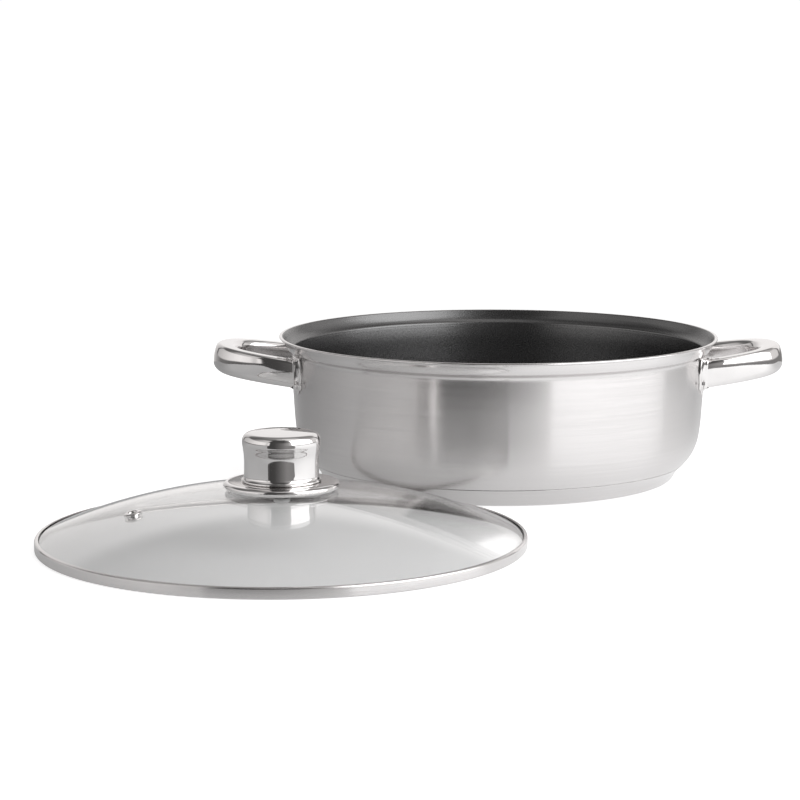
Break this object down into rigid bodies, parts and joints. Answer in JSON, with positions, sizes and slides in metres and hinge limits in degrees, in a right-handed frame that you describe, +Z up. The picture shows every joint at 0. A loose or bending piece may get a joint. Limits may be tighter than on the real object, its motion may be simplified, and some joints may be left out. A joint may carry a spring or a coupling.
{
  "type": "cooking pot with lid",
  "caption": "Wide shallow stainless steel cooking pot with dark non-stick inside, polished loop handles and a separate domed glass lid with a steel knob.",
  "frame": {"origin": "middle of the pot's flat base, on the surface that the pot stands on", "axes": "+Z up along the pot's axis; +X along the line through both handles, towards the right handle in the picture; +Y away from the camera. The lid lies on the same surface, towards -X and -Y"},
  "size_m": [0.4647, 0.5134, 0.094],
  "materials": {
    "satin_steel": "stainless steel, fine satin lines round the wall",
    "polished_steel": "stainless steel, mirror polished",
    "base_steel": "stainless steel, half polished",
    "fastener_steel": "plain stainless steel",
    "nonstick": "dark charcoal non-stick coating, slightly grainy",
    "core_aluminium": "plain",
    "lid_glass": "clear tempered glass",
    "silicone": "pale silicone",
    "knob_core": "dark heat-resistant moulding"
  },
  "bodies": {
    "pot": {"pot_shell": "satin_steel", "nonstick_coating": "nonstick", "aluminium_core": "core_aluminium", "base_cap": "base_steel", "handle_left": "polished_steel", "handle_right": "polished_steel", "handle_bracket_left_front": "polished_steel", "handle_bracket_left_rear": "polished_steel", "handle_bracket_right_front": "polished_steel", "handle_bracket_right_rear": "polished_steel"},
    "lid": {"lid_glass": "lid_glass", "lid_rim_band": "satin_steel", "vent_eyelet": "polished_steel", "vent_backing_ring": "polished_steel", "upper_gasket": "silicone", "lower_gasket": "silicone", "clamp_washer": "fastener_steel", "lock_washer": "fastener_steel", "knob_screw": "fastener_steel"},
    "skirt": {"knob_skirt": "polished_steel"},
    "knob": {"knob_shell": "polished_steel", "knob_insert": "knob_core"}
  },
  "joints": [
    {"name": "lid_lift", "type": "slide", "parent": "pot", "child": "lid", "axis": [-0.3588, -0.6093, 0.7071], "range_m": [0, 0.3]},
    {"name": "knob_rise", "type": "slide", "parent": "lid", "child": "skirt", "axis": [0, 0, 1], "range_m": [0, 0.0085]},
    {"name": "knob_turn", "type": "hinge", "parent": "skirt", "child": "knob", "pos_m": [-0.1332, -0.2262, 0.04], "axis": [0, 0, 1], "range_deg": [0, 3600]}
  ],
  "couplings": [
    {"joint": "knob_rise", "follows": "knob_turn", "m_per_rad": 0.00012732}
  ]
}
